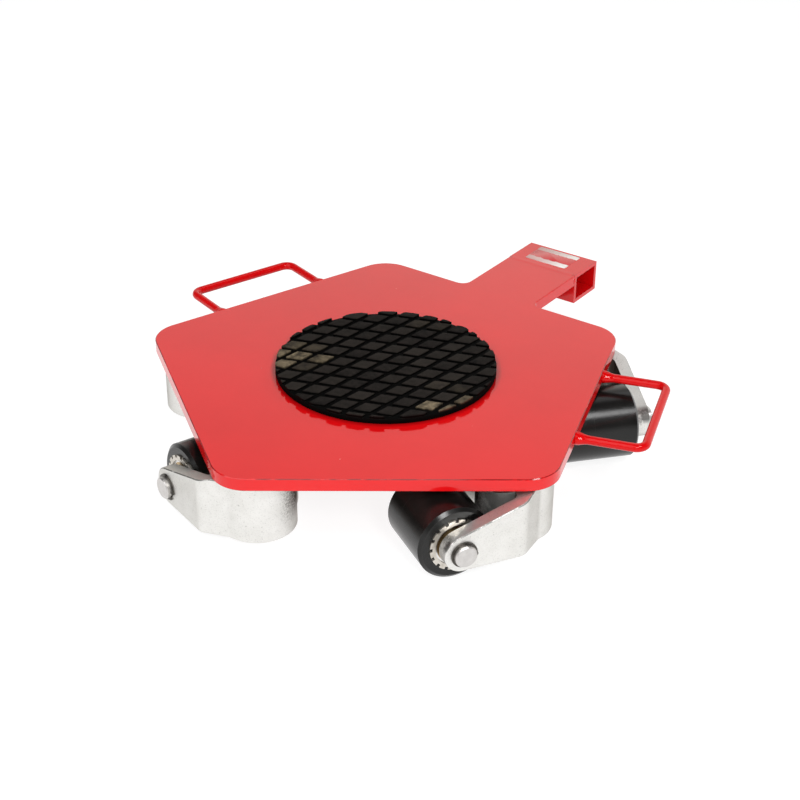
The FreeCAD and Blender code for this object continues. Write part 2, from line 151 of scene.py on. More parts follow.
# The fillet's line from the deck's edge outwards: distance, radius
WELD_LINE = (
    (-0.6 * MM, 7.5 * MM),
    (1.4 * MM, 7.5 * MM),
    (3.0 * MM, 7.25 * MM),
    (5.0 * MM, 6.8 * MM),
    (7.0 * MM, 6.25 * MM),
    (9.0 * MM, 5.75 * MM),
    (11.0 * MM, 5.35 * MM),
    (13.0 * MM, 5.08 * MM),
    (14.6 * MM, 4.85 * MM),
)

# Tube weld: a fillet bead under the tongue's end, a low bead up each side, ground flush on top
SEAM_LEG = 5.0 * MM
SEAM_SINK = 0.8 * MM
SEAM_INSET = 2.0 * MM
SEAM_STEP = 0.7 * MM
SEAM_RIPPLE_PITCH = 3.4 * MM
SEAM_RIPPLE_HEIGHT = 0.3 * MM
SEAM_SWAY_SHARE = 0.4
SEAM_SWAY_PACE = 0.37
SEAM_END_SHARE = 0.35
FILLET_BULGE = 0.62 * SEAM_LEG
FILLET_SHOULDER = (1.25 * FILLET_BULGE, 0.36 * SEAM_LEG)
BEAD_SHOULDER_OUT = 0.6
BEAD_SHOULDER_RISE = 0.75
SIDE_BEAD_HALF_WIDTH = 2.6 * MM
SIDE_BEAD_RISE = 0.75 * MM
TOP_BEAD_HALF_WIDTH = 4.5 * MM
TOP_BEAD_RISE = 0.12 * MM
TOP_BEAD_HIDDEN_HALF_WIDTH = 1.8 * TOP_BEAD_HALF_WIDTH

# Forks: how far below the deck the painted shade on their inner faces stays thick, fades, and what stays
# lower down
INWARD_SHADE_DROP = 33 * MM
INWARD_SHADE_FADE = 26 * MM
INWARD_SHADE_THIN = 0.15
# How squarely a face has to look inwards to carry that painted shade, how far speckle breaks that, and how
# level it may be
INWARD_SHADE_FACING = (-0.35, 0.15)
INWARD_SHADE_SPECKLE = 0.2
INWARD_SHADE_RISE = (0.6, 0.2)

# Roller bearings: where the shield meets the outer ring, and the pitch of their turned rings
BEARING_SHIELD_RADIUS = 21.8 * MM
BEARING_SHIELD_BLUR = 0.15 * MM
BEARING_MARK_PITCH = 0.5 * MM

# Blank plate on the tube's top
BLANK_SIZE = (60 * MM, 41 * MM)
BLANK_CENTRE_X = -2 * MM
BLANK_EDGE_GAP = 5 * MM
BLANK_THICKNESS = 0.4 * MM
BLANK_CORNER = 2.2 * MM
BLANK_CORNER_STEPS = 6
BLANK_SINK = 0.15 * MM
BLANK_WOBBLE = 1.2 * MM
BLANK_WOBBLE_SIZE = 6 * MM
BLANK_BAND_BLUR = 0.8 * MM
BLANK_FADE = (-30 * MM, 26 * MM)

# Colours of the finishes
PAINT_DARK = (0.635, 0.0025, 0.004, 1)
PAINT_LIGHT = (0.705, 0.004, 0.006, 1)
BAR_PAINT_DARK = (0.55, 0.001, 0.002, 1)
BAR_PAINT_LIGHT = (0.62, 0.002, 0.003, 1)
# painted shade and dark reflection along the paint's edges
PAINT_ARRIS_SHADE = (0.25, 0.001, 0.002, 1)
# painted dark reflection along the paint's upper rims
PAINT_RIM_REFLECTION = (0.17, 0.001, 0.002, 1)
# painted shade close round the pad
PAINT_PAD_SHADE = (0.2, 0.002, 0.003, 1)
PAINT_DARK_SPECK = (0.16, 0.01, 0.008, 1)
PAINT_PALE_SPECK = (0.8, 0.42, 0.36, 1)
# painted shade on the deck's faces that look down
PAINT_UNDERSIDE_SHADE = (0.1, 0.07, 0.06, 1)
RUBBER_DARK = (0.005, 0.0046, 0.0042, 1)
RUBBER_LIGHT = (0.018, 0.0155, 0.013, 1)
# painted shade in the pad's grooves
RUBBER_GROOVE_SHADE = (0.0015, 0.0014, 0.0013, 1)
RUBBER_MOTTLE = (0.036, 0.027, 0.025, 1)
RUBBER_DUST = (0.33, 0.262, 0.165, 1)
RUBBER_FILM = (0.06, 0.05, 0.042, 1)
RUBBER_SCUFF = (0.1, 0.09, 0.08, 1)
ZINC_DARK = (0.75, 0.74, 0.71, 1)
ZINC_LIGHT = (0.825, 0.815, 0.79, 1)
ZINC_GLANCING = (0.35, 0.34, 0.32, 1)
ZINC_PIT = (0.3, 0.29, 0.27, 1)
ZINC_SPECK = (0.25, 0.24, 0.22, 1)
# painted shade on the forks' inner faces close under the deck
ZINC_INNER_SHADE = (0.07, 0.055, 0.045, 1)
# painted dark reflection along the forks' upper rims
ZINC_RIM_REFLECTION = (0.1, 0.097, 0.09, 1)
NYLON_DARK = (0.004, 0.0038, 0.0036, 1)
NYLON_LIGHT = (0.007, 0.0066, 0.006, 1)
NYLON_SCUFF = (0.12, 0.115, 0.11, 1)
NYLON_LINT = (0.4, 0.36, 0.3, 1)
STEEL_DARK = (0.55, 0.53, 0.515, 1)
STEEL_LIGHT = (0.63, 0.61, 0.595, 1)
STEEL_TARNISH = (0.25, 0.21, 0.17, 1)
STEEL_EDGE = (0.75, 0.74, 0.72, 1)
SHIELD_DARK = (0.42, 0.29, 0.14, 1)
SHIELD_LIGHT = (0.58, 0.43, 0.24, 1)
OUTER_RING = (0.74, 0.73, 0.71, 1)
BEARING_STAIN = (0.14, 0.09, 0.05, 1)
BLANK_GROUND = (0.86, 0.82, 0.79, 1)
BLANK_FADED_GROUND = (0.62, 0.3, 0.28, 1)
BLANK_BAND = (0.62, 0.03, 0.035, 1)
BLANK_WORN_EDGE = (0.42, 0.4, 0.37, 1)

# Small metal parts: tones, stain in the pits, least and most roughness, sizes of tone patches and grain
SMALL_METALS = {
    "plated_steel": {
        "dark": (0.5, 0.465, 0.41, 1),
        "light": (0.69, 0.655, 0.6, 1),
        "stain": (0.35, 0.28, 0.2, 1),
        "roughnesses": (0.3, 0.45),
        "patch_size": 8 * MM,
        "grain_size": 0.9 * MM,
    },
    "spring_steel": {
        "dark": (0.05, 0.046, 0.042, 1),
        "light": (0.12, 0.112, 0.1, 1),
        "stain": (0.03, 0.022, 0.016, 1),
        "roughnesses": (0.3, 0.42),
        "patch_size": 5 * MM,
        "grain_size": 0.6 * MM,
    },
    "bearing_steel": {
        "dark": (0.42, 0.38, 0.33, 1),
        "light": (0.62, 0.58, 0.52, 1),
        "stain": BEARING_STAIN,
        "roughnesses": (0.2, 0.34),
        "patch_size": 9 * MM,
        "grain_size": 0.7 * MM,
    },
    "bush_bronze": {
        "dark": (0.45, 0.27, 0.11, 1),
        "light": (0.62, 0.4, 0.18, 1),
        "stain": (0.16, 0.09, 0.04, 1),
        "roughnesses": (0.28, 0.42),
        "patch_size": 10 * MM,
        "grain_size": 0.8 * MM,
    },
}

# The range that soft noise mostly keeps to
NOISE_SPAN = (0.3, 0.7)
# Grain: size of its fine part beside the coarse one, and its share of the height
FINE_GRAIN_SIZE = 0.31
FINE_GRAIN_SHARE = 0.35
# Specks: smallest and largest beside the size that is asked for, and the share that is fully covered
SPECK_SIZE_SPAN = (0.4, 1.3)
SPECK_CORE = 0.6
# Edge bands: how far a rounded normal turns from the flat one where a band begins, and where it is full
EDGE_TURN_SPAN = (0.012, 0.11)
# Upper rims, along which a dark line of painted reflection runs: rise of the normal where the line begins
# and is full, and where it ends and is still full
RIM_BEGINS = (0.15, 0.4)
RIM_ENDS = (0.93, 0.8)
# The paint's painted dark reflection along its upper rims runs out over this length before the tongue
RIM_LINE_FADE = 20 * MM
# Painted shade under the deck: its share where it is thinnest
UNDERSIDE_SHADE_THIN = 0.55


def unit(angle):
    """The level direction at an angle from the X axis."""
    return Vector((math.cos(angle), math.sin(angle), 0))


def new_piece(name, mesh, material, body):
    """Puts a finished mesh into the scene as a piece of the part."""
    piece = bpy.data.objects.new(name, mesh)
    bpy.context.scene.collection.objects.link(piece)
    mesh.materials.append(material)
    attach(piece, body)
    return piece


def finish_mesh(name, shape):
    """Turns a bmesh into a mesh with outward, smooth faces."""
    bmesh.ops.recalc_face_normals(shape, faces=shape.faces)
    mesh = bpy.data.meshes.new(name)
    shape.to_mesh(mesh)
    shape.free()
    for polygon in mesh.polygons:
        polygon.use_smooth = True
    return mesh


# Shader building


def feed(tree, socket, value):
    """Sets an input to a value, or links it from another node's output."""
    if isinstance(value, bpy.types.NodeSocket):
        tree.links.new(value, socket)
    else:
        socket.default_value = value


def add(tree, kind, inputs=None, **settings):
    """Adds one node with its settings and inputs."""
    made = tree.nodes.new("ShaderNode" + kind)
    for name, value in settings.items():
        setattr(made, name, value)
    for key, value in (inputs or {}).items():
        feed(tree, made.inputs[key], value)
    return made


def calc(tree, operation, first, second=0.0):
    """One step of arithmetic."""
    made = add(tree, "Math", {0: first, 1: second}, operation=operation)
    return made.outputs[0]


def vector_calc(tree, operation, first, second, output="Vector"):
    """One step of vector arithmetic."""
    made = add(tree, "VectorMath", {0: first, 1: second}, operation=operation)
    return made.outputs[output]


def spread(tree, value, low, high, to_low=0.0, to_high=1.0):
    """Maps a value from one range to another, without passing its ends."""
    inputs = {"Value": value, "From Min": low, "From Max": high, "To Min": to_low, "To Max": to_high}
    return add(tree, "MapRange", inputs).outputs["Result"]


def blend(tree, share, first, second):
    """A colour between two others."""
    made = add(tree, "Mix", {0: share, 6: first, 7: second}, data_type="RGBA")
    return made.outputs[2]


def tint(tree, colour, other, mask, strength):
    """Lays another colour over one where the mask is, as strongly as given."""
    return blend(tree, calc(tree, "MULTIPLY", mask, strength), colour, other)


def uneven_roughness(tree, noise, least, most):
    """Roughness that follows a noise."""
    return spread(tree, noise, *NOISE_SPAN, least, most)


def local_place(tree):
    """The surface's own place on its piece, which rides along with it."""
    return add(tree, "TexCoord").outputs["Object"]


def cloud(tree, place, size, detail=3.0, roughness=0.55):
    """Soft noise with features of about the given size."""
    scale = calc(tree, "DIVIDE", 1.0, size)
    made = add(tree, "TexNoise", {"Vector": place, "Scale": scale, "Detail": detail, "Roughness": roughness})
    return made.outputs[0]


def start_group(name, inputs, outputs):
    """A new shader node group. Inputs are name: (kind, value); outputs are name: kind."""
    tree = bpy.data.node_groups.new(name, "ShaderNodeTree")
    for label, (kind, value) in inputs.items():
        socket = tree.interface.new_socket(label, in_out="INPUT", socket_type="NodeSocket" + kind)
        socket.default_value = value
    for label, kind in outputs.items():
        tree.interface.new_socket(label, in_out="OUTPUT", socket_type="NodeSocket" + kind)
    arriving = tree.nodes.new("NodeGroupInput").outputs
    leaving = tree.nodes.new("NodeGroupOutput").inputs
    return tree, arriving, leaving


def use(tree, group, output, **values):
    """Places a shared effect in a material and returns one of its outputs."""
    made = tree.nodes.new("ShaderNodeGroup")
    made.node_tree = group
    for name, value in values.items():
        feed(tree, made.inputs[name.replace("_", " ").title()], value)
    return made.outputs[output]


def tone_patches_group():
    """Broad, soft patches of lighter and darker tone."""
    tree, arriving, leaving = start_group("tone_patches", {"Size": ("Float", 0.1)}, {"Mask": "Float"})
    patches = cloud(tree, local_place(tree), arriving["Size"], detail=4.0, roughness=0.6)
    feed(tree, leaving["Mask"], spread(tree, patches, 0.32, 0.68))
    return tree


def grain_group():
    """Fine uneven grain, as height and as a mask of its low pits."""
    inputs = {"Size": ("Float", 0.001)}
    tree, arriving, leaving = start_group("surface_grain", inputs, {"Height": "Float", "Pits": "Float"})
    place = local_place(tree)
    fine_size = calc(tree, "MULTIPLY", arriving["Size"], FINE_GRAIN_SIZE)
    coarse = cloud(tree, place, arriving["Size"], detail=4.0, roughness=0.65)
    fine = cloud(tree, place, fine_size, detail=2.0)
    coarse = calc(tree, "MULTIPLY", coarse, 1 - FINE_GRAIN_SHARE)
    height = calc(tree, "ADD", coarse, calc(tree, "MULTIPLY", fine, FINE_GRAIN_SHARE))
    feed(tree, leaving["Height"], height)
    feed(tree, leaving["Pits"], spread(tree, height, 0.46, 0.36))
    return tree


def specks_group():
    """Scattered small specks: one in some of the cells of the given spacing."""
    inputs = {"Spacing": ("Float", 0.01), "Size": ("Float", 0.0005), "Share": ("Float", 0.2)}
    tree, arriving, leaving = start_group("scattered_specks", inputs, {"Mask": "Float"})
    scale = calc(tree, "DIVIDE", 1.0, arriving["Spacing"])
    cells = add(tree, "TexVoronoi", {"Vector": local_place(tree), "Scale": scale})
    chance = add(tree, "SeparateColor", {"Color": cells.outputs["Color"]}).outputs
    reach = calc(tree, "DIVIDE", arriving["Size"], arriving["Spacing"])
    reach = calc(tree, "MULTIPLY", reach, spread(tree, chance[1], 0.0, 1.0, *SPECK_SIZE_SPAN))
    near = spread(tree, cells.outputs["Distance"], reach, calc(tree, "MULTIPLY", reach, SPECK_CORE))
    present = calc(tree, "LESS_THAN", chance[0], arriving["Share"])
    feed(tree, leaving["Mask"], calc(tree, "MULTIPLY", near, present))
    return tree


def edge_band_group():
    """A broken band along convex and concave edges."""
    inputs = {"Width": ("Float", 0.001), "Break Size": ("Float", 0.01)}
    tree, arriving, leaving = start_group("edge_band", inputs, {"Mask": "Float"})
    rounded = add(tree, "Bevel", {"Radius": arriving["Width"]}, samples=6).outputs["Normal"]
    flat = add(tree, "NewGeometry").outputs["Normal"]
    turn = calc(tree, "SUBTRACT", 1.0, vector_calc(tree, "DOT_PRODUCT", rounded, flat, "Value"))
    band = spread(tree, turn, *EDGE_TURN_SPAN)
    breaks = cloud(tree, local_place(tree), arriving["Break Size"], detail=4.0, roughness=0.7)
    feed(tree, leaving["Mask"], calc(tree, "MULTIPLY", band, spread(tree, breaks, 0.35, 0.6)))
    return tree


def settled_dust_group():
    """Dust on faces that look up, in patches."""
    inputs = {"Size": ("Float", 0.03), "Amount": ("Float", 0.5)}
    tree, arriving, leaving = start_group("settled_dust", inputs, {"Mask": "Float"})
    normal = add(tree, "NewGeometry").outputs["Normal"]
    upward = spread(tree, add(tree, "SeparateXYZ", {0: normal}).outputs["Z"], 0.4, 0.95)
    noise = cloud(tree, local_place(tree), arriving["Size"], detail=5.0, roughness=0.65)
    patches = spread(tree, noise, 0.4, 0.72)
    dust = calc(tree, "MULTIPLY", calc(tree, "MULTIPLY", upward, patches), arriving["Amount"])
    feed(tree, leaving["Mask"], dust)
    return tree


def underside_shade_group():
    """A mask of painted shade on faces that look down, thinner in patches; it also dulls the paint."""
    tree, arriving, leaving = start_group("underside_shade", {"Size": ("Float", 0.05)}, {"Mask": "Float"})
    normal = add(tree, "NewGeometry").outputs["Normal"]
    downward = spread(tree, add(tree, "SeparateXYZ", {0: normal}).outputs["Z"], -0.6, -0.95)
    noise = cloud(tree, local_place(tree), arriving["Size"], detail=5.0, roughness=0.65)
    patches = spread(tree, noise, 0.3, 0.6, to_low=UNDERSIDE_SHADE_THIN)
    feed(tree, leaving["Mask"], calc(tree, "MULTIPLY", downward, patches))
    return tree


def pad_shade_group():
    """Painted shade: a dark ring on the deck's top, close round the pad."""
    tree, _, leaving = start_group("pad_shade", {}, {"Mask": "Float"})
    middle = (DECK_CENTRE.x, DECK_CENTRE.y, PLATE_HIGH.z)
    around = vector_calc(tree, "SUBTRACT", local_place(tree), middle)
    away = add(tree, "VectorMath", {0: around}, operation="LENGTH").outputs["Value"]
    height = add(tree, "SeparateXYZ", {0: around}).outputs["Z"]
    ring = spread(tree, away, PAD_RADIUS + PAD_SHADE_WIDTH, PAD_RADIUS, to_high=PAD_SHADE_STRENGTH)
    on_top = spread(tree, height, -PAD_SHADE_DEPTH, 0.0)
    feed(tree, leaving["Mask"], calc(tree, "MULTIPLY", ring, on_top))
    return tree


def inward_shade_group():
    """Speckled painted shade on upright faces that look towards the deck's middle, thickest close under the
    deck.
    """
    tree, arriving, leaving = start_group("inward_shade", {"Size": ("Float", 0.002)}, {"Mask": "Float"})
    normal = add(tree, "TexCoord").outputs["Normal"]
    inward = vector_calc(tree, "SUBTRACT", tuple(DECK_CENTRE), local_place(tree))
    level = vector_calc(tree, "MULTIPLY", inward, (1, 1, 0))
    facing = vector_calc(tree, "DOT_PRODUCT", normal, vector_calc(tree, "NORMALIZE", level, level), "Value")
    blots = cloud(tree, local_place(tree), arriving["Size"], detail=4.0, roughness=0.75)
    speckle = spread(tree, blots, 0.35, 0.65, -INWARD_SHADE_SPECKLE, INWARD_SHADE_SPECKLE)
    height = add(tree, "SeparateXYZ", {0: local_place(tree)}).outputs["Z"]
    thick_above = PLATE_LOW.z - INWARD_SHADE_DROP
    thickness = spread(tree, height, thick_above - INWARD_SHADE_FADE, thick_above, to_low=INWARD_SHADE_THIN)
    rise = calc(tree, "ABSOLUTE", add(tree, "SeparateXYZ", {0: normal}).outputs["Z"])
    covered = spread(tree, calc(tree, "ADD", facing, speckle), *INWARD_SHADE_FACING)
    inner_shade = calc(tree, "MULTIPLY", covered, thickness)
    feed(tree, leaving["Mask"], calc(tree, "MULTIPLY", inner_shade, spread(tree, rise, *INWARD_SHADE_RISE)))
    return tree


def rim_reflection_group():
    """A broken line of painted dark reflection along rounded upper rims, where the surface turns from
    upright to level.
    """
    tree, arriving, leaving = start_group("rim_reflection", {"Break Size": ("Float", 0.01)}, {"Mask": "Float"})
    rise = add(tree, "SeparateXYZ", {0: add(tree, "TexCoord").outputs["Normal"]}).outputs["Z"]
    past_upright = spread(tree, rise, *RIM_BEGINS)
    short_of_level = spread(tree, rise, *RIM_ENDS)
    turning = calc(tree, "MULTIPLY", past_upright, short_of_level)
    breaks = cloud(tree, local_place(tree), arriving["Break Size"], detail=4.0, roughness=0.7)
    feed(tree, leaving["Mask"], calc(tree, "MULTIPLY", turning, spread(tree, breaks, 0.4, 0.52)))
    return tree


def turned_marks_group():
    """Tool marks of a lathe: rings on the ends and lines round the sides, with the radius there."""
    inputs = {"Centre": ("Vector", (0, 0, 0)), "Axis": ("Vector", (0, 0, 1)), "Pitch": ("Float", 0.001)}
    tree, arriving, leaving = start_group("turned_marks", inputs, {"Height": "Float", "Radius": "Float"})
    reach = vector_calc(tree, "SUBTRACT", local_place(tree), arriving["Centre"])
    along = vector_calc(tree, "DOT_PRODUCT", reach, arriving["Axis"], "Value")
    scaled = add(tree, "VectorMath", {0: arriving["Axis"], "Scale": along}, operation="SCALE")
    across = vector_calc(tree, "SUBTRACT", reach, scaled.outputs["Vector"])
    radius = add(tree, "VectorMath", {0: across}, operation="LENGTH").outputs["Value"]
    unrolled = add(tree, "CombineXYZ", {"X": radius, "Y": along}).outputs[0]
    feed(tree, leaving["Height"], cloud(tree, unrolled, arriving["Pitch"], detail=3.0, roughness=0.7))
    feed(tree, leaving["Radius"], radius)
    return tree


TONE = tone_patches_group()
GRAIN = grain_group()
SPECKS = specks_group()
EDGES = edge_band_group()
DUST = settled_dust_group()
SHADE_UNDER_DECK = underside_shade_group()
PAD_SHADE_RING = pad_shade_group()
FORK_INNER_SHADE = inward_shade_group()
RIM_REFLECTION_LINE = rim_reflection_group()
TURNED = turned_marks_group()


def start_material(name, **plain):
    """A new material. Values that hold all over it are set on the shader itself."""
    material = bpy.data.materials.new(name)
    material.use_nodes = True
    tree = material.node_tree
    shader = tree.nodes["Principled BSDF"]
    for label, value in plain.items():
        shader.inputs[label.replace("_", " ").title().replace("Ior", "IOR")].default_value = value
    return material, tree, shader


def dress(tree, shader, colour, roughness, *heights):
    """Wires a material's colour, roughness and heights. Each height is (value, depth in metres)."""
    feed(tree, shader.inputs["Base Color"], colour)
    feed(tree, shader.inputs["Roughness"], roughness)
    normal = None
    for height, depth in heights:
        bump = add(tree, "Bump", {"Height": height, "Distance": depth, "Strength": 1.0})
        if normal:
            feed(tree, bump.inputs["Normal"], normal)
        normal = bump.outputs["Normal"]
    if normal:
        feed(tree, shader.inputs["Normal"], normal)


# Finishes


def red_paint(name, dark, light, gloss, rim_share):
    """Glossy enamel: faint orange peel, a few specks caught in it, painted shade and dark reflection along
    the arrises and upper rims, and painted shade round the pad and under the deck.
    """
    material, tree, shader = start_material(name, ior=1.5, specular_ior_level=gloss)
    patches = use(tree, TONE, "Mask", size=160 * MM)
    colour = blend(tree, patches, dark, light)
    # Painted shade and dark reflection along the paint's convex and concave edges.
    arris_shade = use(tree, EDGES, "Mask", width=1.6 * MM, break_size=18 * MM)
    colour = tint(tree, colour, PAINT_ARRIS_SHADE, arris_shade, strength=0.8)
    # Painted dark reflection: a broken dark line along the upper rims, fading out before the tongue.
    rims = calc(tree, "MULTIPLY", use(tree, RIM_REFLECTION_LINE, "Mask", break_size=40 * MM), rim_share)
    forward = add(tree, "SeparateXYZ", {0: local_place(tree)}).outputs["Y"]
    before_tongue = spread(tree, forward, TONGUE_ROOT, TONGUE_ROOT - RIM_LINE_FADE)
    colour = blend(tree, calc(tree, "MULTIPLY", rims, before_tongue), colour, PAINT_RIM_REFLECTION)
    # Painted shade on the deck close round the pad.
    colour = blend(tree, use(tree, PAD_SHADE_RING, "Mask"), colour, PAINT_PAD_SHADE)
    dark_specks = use(tree, SPECKS, "Mask", spacing=31 * MM, size=0.8 * MM, share=0.4)
    colour = blend(tree, dark_specks, colour, PAINT_DARK_SPECK)
    pale_specks = use(tree, SPECKS, "Mask", spacing=19 * MM, size=0.5 * MM, share=0.22)
    colour = blend(tree, pale_specks, colour, PAINT_PALE_SPECK)
    # Painted shade under the deck: faces that look down are darker, and rougher too.
    shade_below = use(tree, SHADE_UNDER_DECK, "Mask", size=60 * MM)
    colour = tint(tree, colour, PAINT_UNDERSIDE_SHADE, shade_below, strength=0.9)
    film = use(tree, DUST, "Mask", size=70 * MM, amount=0.1)
    film = calc(tree, "ADD", film, calc(tree, "MULTIPLY", shade_below, 0.4))
    roughness = calc(tree, "ADD", spread(tree, patches, 0.0, 1.0, to_low=0.035, to_high=0.065), film)
    roughness = calc(tree, "ADD", roughness, calc(tree, "MULTIPLY", dark_specks, 0.4))
    peel = use(tree, GRAIN, "Height", size=5 * MM)
    dress(tree, shader, colour, roughness, (peel, 0.016 * MM), (dark_specks, 0.08 * MM))
    return material


def pad_rubber():
    """Moulded black rubber, with painted shade in the grooves. Each block has its own tone, and some carry
    ground-in dust.
    """
    material, tree, shader = start_material("pad_rubber", ior=1.5, specular_ior_level=0.04)
    tone = add(tree, "Attribute", attribute_name="block_tone").outputs["Fac"]
    dusty = add(tree, "Attribute", attribute_name="block_dust").outputs["Fac"]
    colour = blend(tree, tone, RUBBER_DARK, RUBBER_LIGHT)
    height = add(tree, "SeparateXYZ", {0: local_place(tree)}).outputs["Z"]
    on_top = spread(tree, height, PAD_HIGH.z - GROOVE_DEPTH / 2, PAD_HIGH.z - GROOVE_DEPTH / 4)
    # Painted shade: the grooves are darker than the block tops.
    colour = blend(tree, on_top, RUBBER_GROOVE_SHADE, colour)
    mottle = calc(tree, "MULTIPLY", use(tree, TONE, "Mask", size=7 * MM), on_top)
    colour = tint(tree, colour, RUBBER_MOTTLE, mottle, strength=0.3)
    worn = spread(tree, use(tree, TONE, "Mask", size=11 * MM), 0.1, 0.9, to_low=0.12)
    colour = tint(tree, colour, RUBBER_DUST, dusty, strength=worn)
    film = calc(tree, "MULTIPLY", use(tree, DUST, "Mask", size=24 * MM, amount=0.12), on_top)
    colour = blend(tree, film, colour, RUBBER_FILM)
    scuffs = use(tree, EDGES, "Mask", width=0.8 * MM, break_size=6 * MM)
    colour = tint(tree, colour, RUBBER_SCUFF, scuffs, strength=0.12)
    grain = use(tree, GRAIN, "Height", size=0.9 * MM)
    roughness = uneven_roughness(tree, grain, least=0.62, most=0.86)
    wear = use(tree, GRAIN, "Height", size=5 * MM)
    dress(tree, shader, colour, roughness, (wear, 0.25 * MM), (grain, 0.09 * MM))
    return material


def cast_fork():
    """Zinc-coated casting: pale, softly rough, with dull specks, darker pits, painted shade on its inner
    faces and a painted dark reflection along its upper rims.
    """
    material, tree, shader = start_material(
        "cast_fork", specular_tint=ZINC_GLANCING, specular_ior_level=0.06
    )
    patches = use(tree, TONE, "Mask", size=22 * MM)
    colour = blend(tree, patches, ZINC_DARK, ZINC_LIGHT)
    pits = use(tree, GRAIN, "Pits", size=1.6 * MM)
    colour = tint(tree, colour, ZINC_PIT, pits, strength=0.35)
    specks = use(tree, SPECKS, "Mask", spacing=2.3 * MM, size=0.5 * MM, share=0.28)
    in_dark_patches = spread(tree, patches, 0.75, 0.25, to_low=0.05, to_high=0.75)
    specks = calc(tree, "MULTIPLY", specks, in_dark_patches)
    colour = blend(tree, specks, colour, ZINC_SPECK)
    # Painted shade on the fork's inner faces close under the deck: darker, rougher and less metallic there.
    inner_shade = use(tree, FORK_INNER_SHADE, "Mask", size=2.2 * MM)
    colour = blend(tree, inner_shade, colour, ZINC_INNER_SHADE)
    feed(tree, shader.inputs["Metallic"], calc(tree, "SUBTRACT", 1.0, inner_shade))
    # Painted dark reflection: a broken dark line along the fork's upper rims.
    rims = use(tree, RIM_REFLECTION_LINE, "Mask", break_size=16 * MM)
    colour = tint(tree, colour, ZINC_RIM_REFLECTION, rims, strength=0.85)
    skin = use(tree, GRAIN, "Height", size=1.3 * MM)
    waves = use(tree, GRAIN, "Height", size=14 * MM)
    roughness = uneven_roughness(tree, skin, least=0.38, most=0.5)
    roughness = calc(tree, "ADD", roughness, calc(tree, "MULTIPLY", inner_shade, 0.4))
    dress(tree, shader, colour, roughness, (waves, 0.06 * MM), (skin, 0.12 * MM), (pits, -0.05 * MM))
    return material


def roller_nylon(name, centre, axis):
    """Black nylon with turned marks round its axis, light scuffs at the corners and a little lint."""
    material, tree, shader = start_material("roller_nylon_" + name, ior=1.5, specular_ior_level=0.36)
    patches = use(tree, TONE, "Mask", size=30 * MM)
    colour = blend(tree, patches, NYLON_DARK, NYLON_LIGHT)
    scuffs = use(tree, EDGES, "Mask", width=0.9 * MM, break_size=5 * MM)
    colour = tint(tree, colour, NYLON_SCUFF, scuffs, strength=0.25)
    lint = use(tree, SPECKS, "Mask", spacing=11 * MM, size=0.45 * MM, share=0.22)
    colour = blend(tree, lint, colour, NYLON_LINT)
    marks = use(tree, TURNED, "Height", centre=centre, axis=axis, pitch=0.9 * MM)
    grain = use(tree, GRAIN, "Height", size=0.8 * MM)
    roughness = uneven_roughness(tree, marks, least=0.18, most=0.28)
    roughness = calc(tree, "ADD", roughness, calc(tree, "MULTIPLY", lint, 0.4))
    dress(tree, shader, colour, roughness, (marks, 0.007 * MM), (grain, 0.008 * MM))
    return material


def plain_steel(name, centre, axis):
    """Bright turned steel with facing rings, a little tarnished."""
    material, tree, shader = start_material("plain_steel_" + name, metallic=1.0)
    marks = use(tree, TURNED, "Height", centre=centre, axis=axis, pitch=0.55 * MM)
    patches = use(tree, TONE, "Mask", size=7 * MM)
    colour = blend(tree, patches, STEEL_DARK, STEEL_LIGHT)
    tarnish = use(tree, GRAIN, "Pits", size=1.1 * MM)
    colour = tint(tree, colour, STEEL_TARNISH, tarnish, strength=0.2)
    rims = use(tree, EDGES, "Mask", width=0.5 * MM, break_size=4 * MM)
    colour = tint(tree, colour, STEEL_EDGE, rims, strength=0.5)
    roughness = uneven_roughness(tree, marks, least=0.3, most=0.42)
    dress(tree, shader, colour, roughness, (marks, 0.012 * MM))
    return material


def small_metal(name, dark, light, stain, roughnesses, patch_size, grain_size):
    """A small metal part: tone patches, stained pits, brighter rims and fine grain."""
    material, tree, shader = start_material(name, metallic=1.0)
    colour = blend(tree, use(tree, TONE, "Mask", size=patch_size), dark, light)
    pits = use(tree, GRAIN, "Pits", size=grain_size)
    colour = tint(tree, colour, stain, pits, strength=0.5)
    rims = use(tree, EDGES, "Mask", width=0.4 * MM, break_size=3 * MM)
    colour = tint(tree, colour, light, rims, strength=0.4)
    grain = use(tree, GRAIN, "Height", size=grain_size)
    roughness = uneven_roughness(tree, grain, *roughnesses)
    dress(tree, shader, colour, roughness, (grain, 0.02 * MM))
    return material


def shielded_bearing(name, centre, axis):
    """A ball bearing's end: bright outer ring, yellowish shield, both with faint turned rings."""
    material, tree, shader = start_material("bearing_" + name, metallic=1.0)
    radius = use(tree, TURNED, "Radius", centre=centre, axis=axis, pitch=BEARING_MARK_PITCH)
    marks = use(tree, TURNED, "Height", centre=centre, axis=axis, pitch=BEARING_MARK_PITCH)
    shield_ends = BEARING_SHIELD_RADIUS - BEARING_SHIELD_BLUR
    ring_begins = BEARING_SHIELD_RADIUS + BEARING_SHIELD_BLUR
    outer = spread(tree, radius, shield_ends, ring_begins)
    shield = blend(tree, spread(tree, marks, 0.35, 0.65), SHIELD_DARK, SHIELD_LIGHT)
    colour = blend(tree, outer, shield, OUTER_RING)
    stains = use(tree, GRAIN, "Pits", size=1.0 * MM)
    colour = tint(tree, colour, BEARING_STAIN, stains, strength=0.4)
    roughness = uneven_roughness(tree, marks, least=0.2, most=0.32)
    dress(tree, shader, colour, roughness, (marks, 0.01 * MM))
    return material


